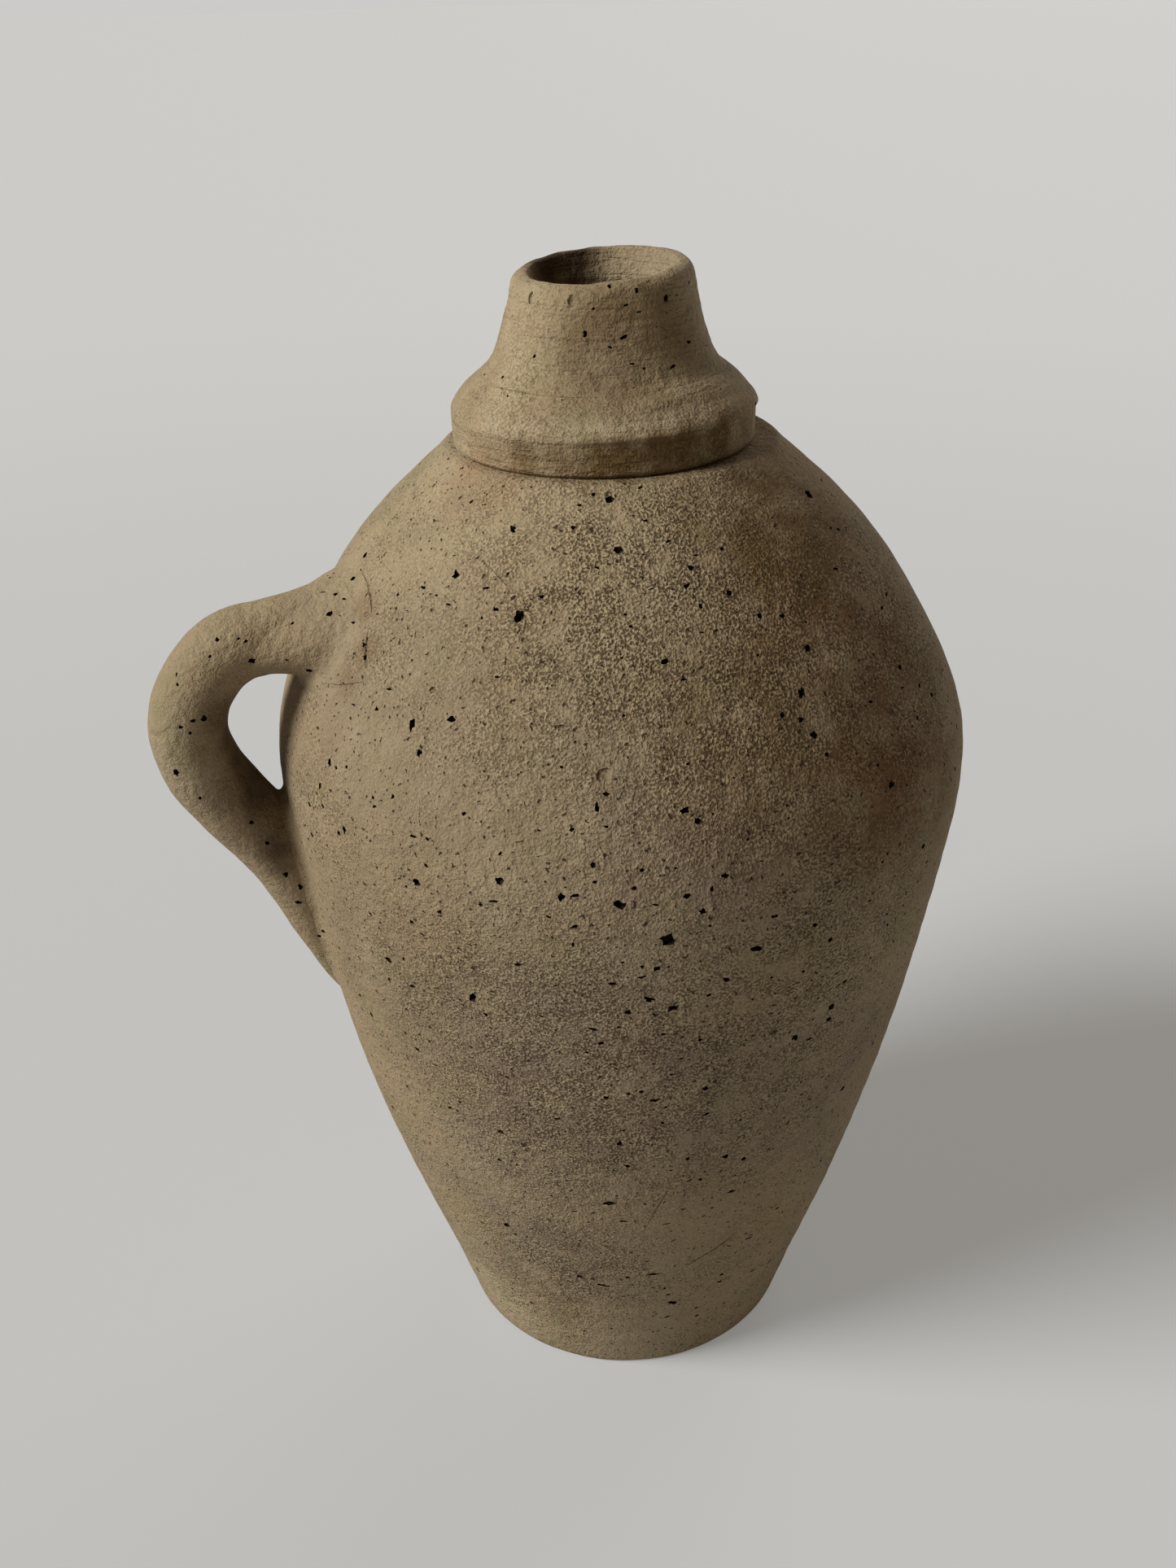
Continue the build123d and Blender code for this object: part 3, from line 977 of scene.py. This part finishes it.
def tubes(paths, thickness, facets):
    """Closed round tubes along paths of places, each with its share of the thickness."""
    curve = bpy.data.curves.new("tubes", "CURVE")
    curve.dimensions = "3D"
    curve.bevel_depth = thickness / 2
    curve.bevel_resolution = facets
    curve.resolution_u = 12
    curve.use_fill_caps = True
    for path in paths:
        spline = curve.splines.new("BEZIER")
        spline.bezier_points.add(len(path) - 1)
        for point, (place, size) in zip(spline.bezier_points, path):
            point.co = place
            point.radius = size
            point.handle_left_type = "AUTO"
            point.handle_right_type = "AUTO"
    holder = bpy.data.objects.new("tubes", curve)
    bpy.context.collection.objects.link(holder)
    graph = bpy.context.evaluated_depsgraph_get()
    mesh = bpy.data.meshes.new_from_object(holder.evaluated_get(graph), depsgraph=graph)
    bm = bmesh.new()
    bm.from_mesh(mesh)
    drop(holder)
    bpy.data.meshes.remove(mesh)
    bmesh.ops.remove_doubles(bm, verts=bm.verts, dist=10 * merge_gap)
    bmesh.ops.recalc_face_normals(bm, faces=bm.faces)
    return bm


def handle_rod():
    """The pulled rod of clay, oval and a little lumpy, with both ends inside the wall."""
    bm = tubes([handle_line()], handle_thickness, 14)
    bmesh.ops.scale(bm, verts=bm.verts, vec=(1, handle_width / handle_thickness, 1))
    bm.normal_update()
    for vertex in bm.verts:
        lumps = noise.noise(vertex.co / handle_lump_width) - 0.8
        peel = noise.noise(vertex.co / peel_width) - 0.8
        vertex.co += vertex.normal * (handle_lump_depth * lumps + handle_peel_depth * peel)
    return helper("rod", bm)


def root_flare():
    """The trumpet of clay that was laid round the handle's root."""
    path = [(place, size * share) for (place, size), share in zip(handle_line(), root_spread_shares)]
    bm = tubes([path], handle_thickness, 10)
    bmesh.ops.scale(bm, verts=bm.verts, vec=(1, flare_oval, 1))
    bmesh.ops.translate(bm, verts=bm.verts, vec=(0, 0, -flare_drop))
    return helper("flare", bm)


def joined(*objects):
    """One helper made of copies of several objects' meshes."""
    bm = bmesh.new()
    for each in objects:
        bm.from_mesh(each.data)
    return helper("joined", bm)


def keep_within(piece, low, high):
    """Cut a piece down to the box from one corner to the other."""
    bm = bmesh.new()
    bmesh.ops.create_cube(bm, size=1)
    bmesh.ops.scale(bm, verts=bm.verts, vec=high - low)
    bmesh.ops.translate(bm, verts=bm.verts, vec=(low + high) / 2)
    box = helper("box", bm)
    cut(piece, box, "INTERSECT")
    drop(box)


def largest_island(piece):
    """Drop loose slivers, so that a piece is one closed body."""
    bm = copy_of(piece)
    waiting = set(bm.faces)
    islands = []
    while waiting:
        front = [waiting.pop()]
        island = list(front)
        while front:
            face = front.pop()
            for edge in face.edges:
                for other in edge.link_faces:
                    if other in waiting:
                        waiting.remove(other)
                        front.append(other)
                        island.append(other)
        islands.append(island)
    islands.sort(key=len)
    small = [face for island in islands[:-1] for face in island]
    bmesh.ops.delete(bm, geom=small, context="FACES")
    bm.to_mesh(piece.data)
    bm.free()


def smeared_clay(fill, rod, extra, low, high, rounds):
    """Clay pressed into the corner between handle and wall: the joint with some extra clay
    smoothed over by a finger, less the handle and the wall themselves."""
    blob = joined(fill)
    keep_within(blob, low, high)
    stub = joined(rod)
    keep_within(stub, low, high)
    mass = joined(blob, stub, *extra)
    remesh = mass.modifiers.new("knead", "REMESH")
    remesh.mode = "VOXEL"
    remesh.voxel_size = knead_size
    smooth = mass.modifiers.new("smear", "SMOOTH")
    smooth.factor = 0.5
    smooth.iterations = rounds
    finish_mesh(mass, shaded=False)
    bm = copy_of(mass)
    bm.normal_update()
    for vertex in bm.verts:
        smear = noise.noise(vertex.co / smear_width) + 0.5 * noise.noise(vertex.co / fine_smear_width)
        vertex.co += vertex.normal * (smear_height * smear - smear_sink)
    bm.to_mesh(mass.data)
    bm.free()
    cut(mass, fill)
    cut(mass, rod)
    largest_island(mass)
    bm = copy_of(mass)
    drop(blob, stub, mass)
    return bm


class JUG_OT_walls(bpy.types.Operator):
    """Make the lower and the upper wall"""
    bl_idname = "jug.walls"
    bl_label = "Walls"

    def execute(self, context):
        for node in ("lower_wall", "upper_wall"):
            turned_piece(node, "sandy_hearth_fired_clay", body_pressed, 0,
                         body_steps, outside_spacing, wall_outside)
        return {"FINISHED"}


class JUG_OT_base(bpy.types.Operator):
    """Make the disc that closes the floor"""
    bl_idname = "jug.base"
    bl_label = "Base disc"

    def execute(self, context):
        turned_piece("base_disc", "scraped_foot_clay", lambda place: place, 0,
                     disc_steps, outside_spacing)
        return {"FINISHED"}


class JUG_OT_collar_and_neck(bpy.types.Operator):
    """Make the collar and the neck"""
    bl_idname = "jug.collar_and_neck"
    bl_label = "Collar and neck"

    def execute(self, context):
        for node, press in (("collar_ring", collar_pressed), ("neck", neck_pressed)):
            turned_piece(node, "wet_wiped_clay", press, top_axis, top_steps,
                         fine_spacing)
        return {"FINISHED"}


class JUG_OT_lip(bpy.types.Operator):
    """Make the lip with its slanting rim"""
    bl_idname = "jug.lip"
    bl_label = "Lip"

    def execute(self, context):
        turned_piece("lip_ring", "wet_wiped_clay", lip_pressed, top_axis, top_steps,
                     fine_spacing)
        return {"FINISHED"}


class JUG_OT_handle(bpy.types.Operator):
    """Make the handle and the clay smeared round its two ends"""
    bl_idname = "jug.handle"
    bl_label = "Handle and lutes"

    def execute(self, context):
        fill = body_fill()
        rod = handle_rod()
        flare = root_flare()
        for node, extra, rounds in (("upper_handle_lute", [flare], 80), ("lower_handle_lute", [], 60)):
            low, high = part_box(node)
            bm = smeared_clay(fill, rod, extra, low - lute_margin, high + lute_margin, rounds)
            new_piece(node + "_clay", bm, [node], "hand_smoothed_clay")
        cut(rod, fill)
        largest_island(rod)
        new_piece("handle_clay", copy_of(rod), ["handle"], "hand_smoothed_clay")
        drop(fill, rod, flare)
        return {"FINISHED"}


def oriented(place, normal, spin):
    """A matrix that lays X along the surface and level, Y up the surface and Z outward."""
    across = up.cross(normal).normalized() if abs(normal.z) < 0.98 else Vector((1, 0, 0))
    rise = normal.cross(across).normalized()
    turn = Matrix((across, rise, normal)).transposed().to_4x4()
    return Matrix.Translation(place) @ turn @ Matrix.Rotation(spin, 4, "Z")


def dig(bm, draw, place, normal, width, tall, depth, rough, spin=0, facets=1, pit_shade=1):
    """Add one burr of a pit, a crooked blob sunk a little under the surface. Pit shade is the
    material slot that its inside takes, 1 being the pits' painted shade."""
    middle = place - normal * (sunk_share * depth)
    matrix = oriented(middle, normal, spin) @ Matrix.Diagonal((width / 2, tall / 2, depth, 1))
    made = bmesh.ops.create_icosphere(bm, subdivisions=facets, radius=1, matrix=matrix)
    for vertex in made["verts"]:
        reach = vertex.co - middle
        vertex.co += reach * draw.uniform(-rough, rough * 0.6)
        for face in vertex.link_faces:
            face.material_index = pit_shade


def facing_out(vertex):
    """True of a vertex on the outside of the jug, above the foot."""
    place = vertex.co
    out = Vector((place.x, place.y, 0)).normalized()
    return place.z > lowest_pit_height and vertex.normal.dot(out) > 0.25


def pit_burrs(shown, trees, draw):
    """All the pits as one helper mesh: the large ones where they are in the photograph, the
    small ones drawn at random, none touching another."""
    bm = bmesh.new()
    taken = []

    def claim(place, radius):
        """Take a place for a pit, unless another pit is too near."""
        if any((place - other).length < radius + reach for other, reach in taken):
            return False
        taken.append((place, radius))
        return True

    for px, py, width, tall in seen_pits_px_mm:
        place, normal = seen(px, py, trees)
        if claim(place, max(width, tall) * 0.75 * mm):
            depth = (burr_depth_mm + burr_growth_share * min(width, tall)) * mm
            dig(bm, draw, place, normal, width * burr_width_share * mm,
                tall * burr_height_share * mm, depth, rough=0.5, spin=draw.uniform(-0.3, 0.3),
                facets=2)
    for px, py, width, tall in scars_px_mm:
        place, normal = seen(px, py, trees)
        if claim(place, max(width, tall) * 0.6 * mm):
            dig(bm, draw, place, normal, width * mm, tall * mm, scar_depth, rough=0.2,
                facets=2, pit_shade=0)
    candidates = [(vertex.co.copy(), vertex.normal.copy()) for piece in shown
                  for vertex in piece.data.vertices if facing_out(vertex)]
    for _ in range(bpy.context.scene.jug.pit_count):
        place, normal = draw.choice(candidates)
        dense = bell(place.z - most_pitted_height, pitted_reach)
        dense = sparse_share + (1 - sparse_share) * dense
        if place.x < handle_side or place.z > collar_foot:
            dense *= spared_share
        if draw.random() > dense:
            continue
        width = (least_pit_mm + pit_growth_mm * draw.random() ** 3) * mm
        shape = draw.uniform(0.5, 0.95) if draw.random() < 0.6 else draw.uniform(0.25, 0.45)
        spin = draw.gauss(0, 0.35)
        if claim(place, width * 0.8):
            dig(bm, draw, place, normal, width * small_burr_share,
                width * shape * small_burr_share, width * draw.uniform(0.4, 0.6), rough=0.45,
                spin=spin)
    bmesh.ops.recalc_face_normals(bm, faces=bm.faces)
    burrs = helper("pit_burrs", bm)
    for name in ("hand_smoothed_clay", "pit_clay_painted_shade"):
        burrs.data.materials.append(material_named(name))
    return burrs


def grooves(trees):
    """The finger seams and the scratches as one helper mesh of thin tapered tubes."""
    paths = []
    for line in seams_px + scratches_px:
        places = []
        for (x0, y0), (x1, y1) in zip(line, line[1:]):
            for t in (0, 0.25, 0.5, 0.75):
                places.append(seen(x0 + (x1 - x0) * t, y0 + (y1 - y0) * t, trees)[0])
        places.append(seen(*line[-1], trees)[0])
        size = 1 if line in seams_px else scratch_share
        turns = [pi * i / (len(places) - 1) for i in range(len(places))]
        paths.append([(place, size * (0.3 + 0.7 * sin(turn))) for place, turn in zip(places, turns)])
    return helper("grooves", tubes(paths, groove_width, 1))


class JUG_OT_pits(bpy.types.Operator):
    """Cut the pits that burnt chaff and grit left in the clay"""
    bl_idname = "jug.pits"
    bl_label = "Pits"

    def execute(self, context):
        draw = Random(context.scene.jug.pit_seed)
        shown = [bpy.data.objects[node + "_clay"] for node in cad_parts]
        graph = context.evaluated_depsgraph_get()
        trees = [BVHTree.FromObject(piece, graph) for piece in shown]
        for cutter in (grooves(trees), pit_burrs(shown, trees, draw)):
            for piece in shown:
                cut(piece, cutter)
            drop(cutter)
        return {"FINISHED"}


def floor(settings):
    """A wide sheet of matt paper with a soft warm glow, which grows away from the jug."""
    bm = bmesh.new()
    bmesh.ops.create_grid(bm, x_segments=1, y_segments=1, size=paper_reach)
    bmesh.ops.rotate(bm, verts=bm.verts, matrix=Matrix.Rotation(radians(camera_heading), 3, "Z"))
    material, tree, shader = matt_material("matt_paper", 0.95, 0.05)
    shader.inputs["Base Color"].default_value = (*settings.paper_colour, 1)
    shader.inputs["Emission Color"].default_value = colour("#FDFBF6")
    gap = add(tree, "ShaderNodeVectorMath", {0: add(tree, "ShaderNodeTexCoord").outputs["Object"]},
              operation="LENGTH")
    inputs = {"Value": gap, "From Max": glow_reach, "To Min": glow_near, "To Max": glow_far}
    glow = add(tree, "ShaderNodeMapRange", inputs, interpolation_type="SMOOTHSTEP")
    tree.links.new(glow.outputs["Result"], shader.inputs["Emission Strength"])
    sheet = helper("paper", bm)
    sheet.data.materials.append(material)


def out_towards(azimuth, elevation):
    """The direction at an azimuth counted from the camera's right, and an elevation."""
    turn = radians(azimuth + camera_heading)
    lift = radians(elevation)
    return Vector((cos(turn) * cos(lift), sin(turn) * cos(lift), sin(lift)))


def placed(name, data, place, turn):
    """A lamp or a camera put in the scene at a place, with a turn."""
    holder = bpy.data.objects.new(name, data)
    holder.location = place
    holder.rotation_mode = "QUATERNION"
    holder.rotation_quaternion = turn
    bpy.context.collection.objects.link(holder)
    return holder


def place_lamp(name, side, rise, width, strength):
    """A soft light on the jug from far off, from a side and a height."""
    out = out_towards(side, rise)
    lamp = bpy.data.lights.new(name, "SUN")
    lamp.energy = strength
    lamp.angle = radians(width)
    placed(name, lamp, lit_place + out, out.to_track_quat("Z", "Y"))


def place_camera():
    """The photograph's camera."""
    camera = bpy.data.cameras.new("camera")
    camera.sensor_width = sensor_width
    camera.lens = focal_px / photo_height * camera.sensor_width
    camera.clip_start = nearest_seen
    bpy.context.scene.camera = placed("camera", camera, camera_place, camera_turn())


def room(settings):
    """Even warm light from all round, behind which the camera sees the pale backdrop."""
    world = bpy.data.worlds.new("room")
    world.use_nodes = True
    tree = world.node_tree
    warm = [settings.room_strength * channel for channel in settings.room_colour]
    background = add(tree, "ShaderNodeMix", {
        "Factor": add(tree, "ShaderNodeLightPath").outputs["Is Camera Ray"], "A": (*warm, 1),
        "B": colour("#CCCBC9")}, data_type="RGBA")
    tree.links.new(background.outputs[2], tree.nodes["Background"].inputs["Color"])
    bpy.context.scene.world = world


class JUG_OT_stage(bpy.types.Operator):
    """Make the paper, the light and the camera"""
    bl_idname = "jug.stage"
    bl_label = "Stage"

    def execute(self, context):
        settings = context.scene.jug_stage
        floor(settings)
        room(settings)
        place_lamp("window", window_side, window_rise, window_width, settings.window_strength)
        place_lamp("wall", bounce_side, bounce_rise, bounce_width, settings.wall_strength)
        place_camera()
        context.scene.view_settings.view_transform = "Standard"
        return {"FINISHED"}


class JUG_PT_sidebar(bpy.types.Panel):
    """Lists the jug's pieces and their settings"""
    bl_idname = "JUG_PT_sidebar"
    bl_label = "Jug"
    bl_space_type = "VIEW_3D"
    bl_region_type = "UI"
    bl_category = "Jug"

    def draw(self, context):
        for operator in operators:
            self.layout.operator(operator.bl_idname)
        for group in (context.scene.jug, context.scene.jug_stage):
            for name in group.bl_rna.properties.keys():
                if name not in ("rna_type", "name"):
                    self.layout.prop(group, name)


operators = [JUG_OT_walls, JUG_OT_base, JUG_OT_collar_and_neck, JUG_OT_lip, JUG_OT_handle,
             JUG_OT_pits, JUG_OT_stage]
classes = [JugSettings, StageSettings, *operators, JUG_PT_sidebar]


def register():
    for kind in classes:
        bpy.utils.register_class(kind)
    bpy.types.Scene.jug = PointerProperty(type=JugSettings)
    bpy.types.Scene.jug_stage = PointerProperty(type=StageSettings)


def unregister():
    del bpy.types.Scene.jug_stage
    del bpy.types.Scene.jug
    for kind in reversed(classes):
        bpy.utils.unregister_class(kind)


def main():
    register()
    bpy.ops.jug.walls()
    bpy.ops.jug.base()
    bpy.ops.jug.collar_and_neck()
    bpy.ops.jug.lip()
    bpy.ops.jug.handle()
    bpy.ops.jug.pits()
    bpy.ops.jug.stage()


if __name__ == "__main__":
    main()
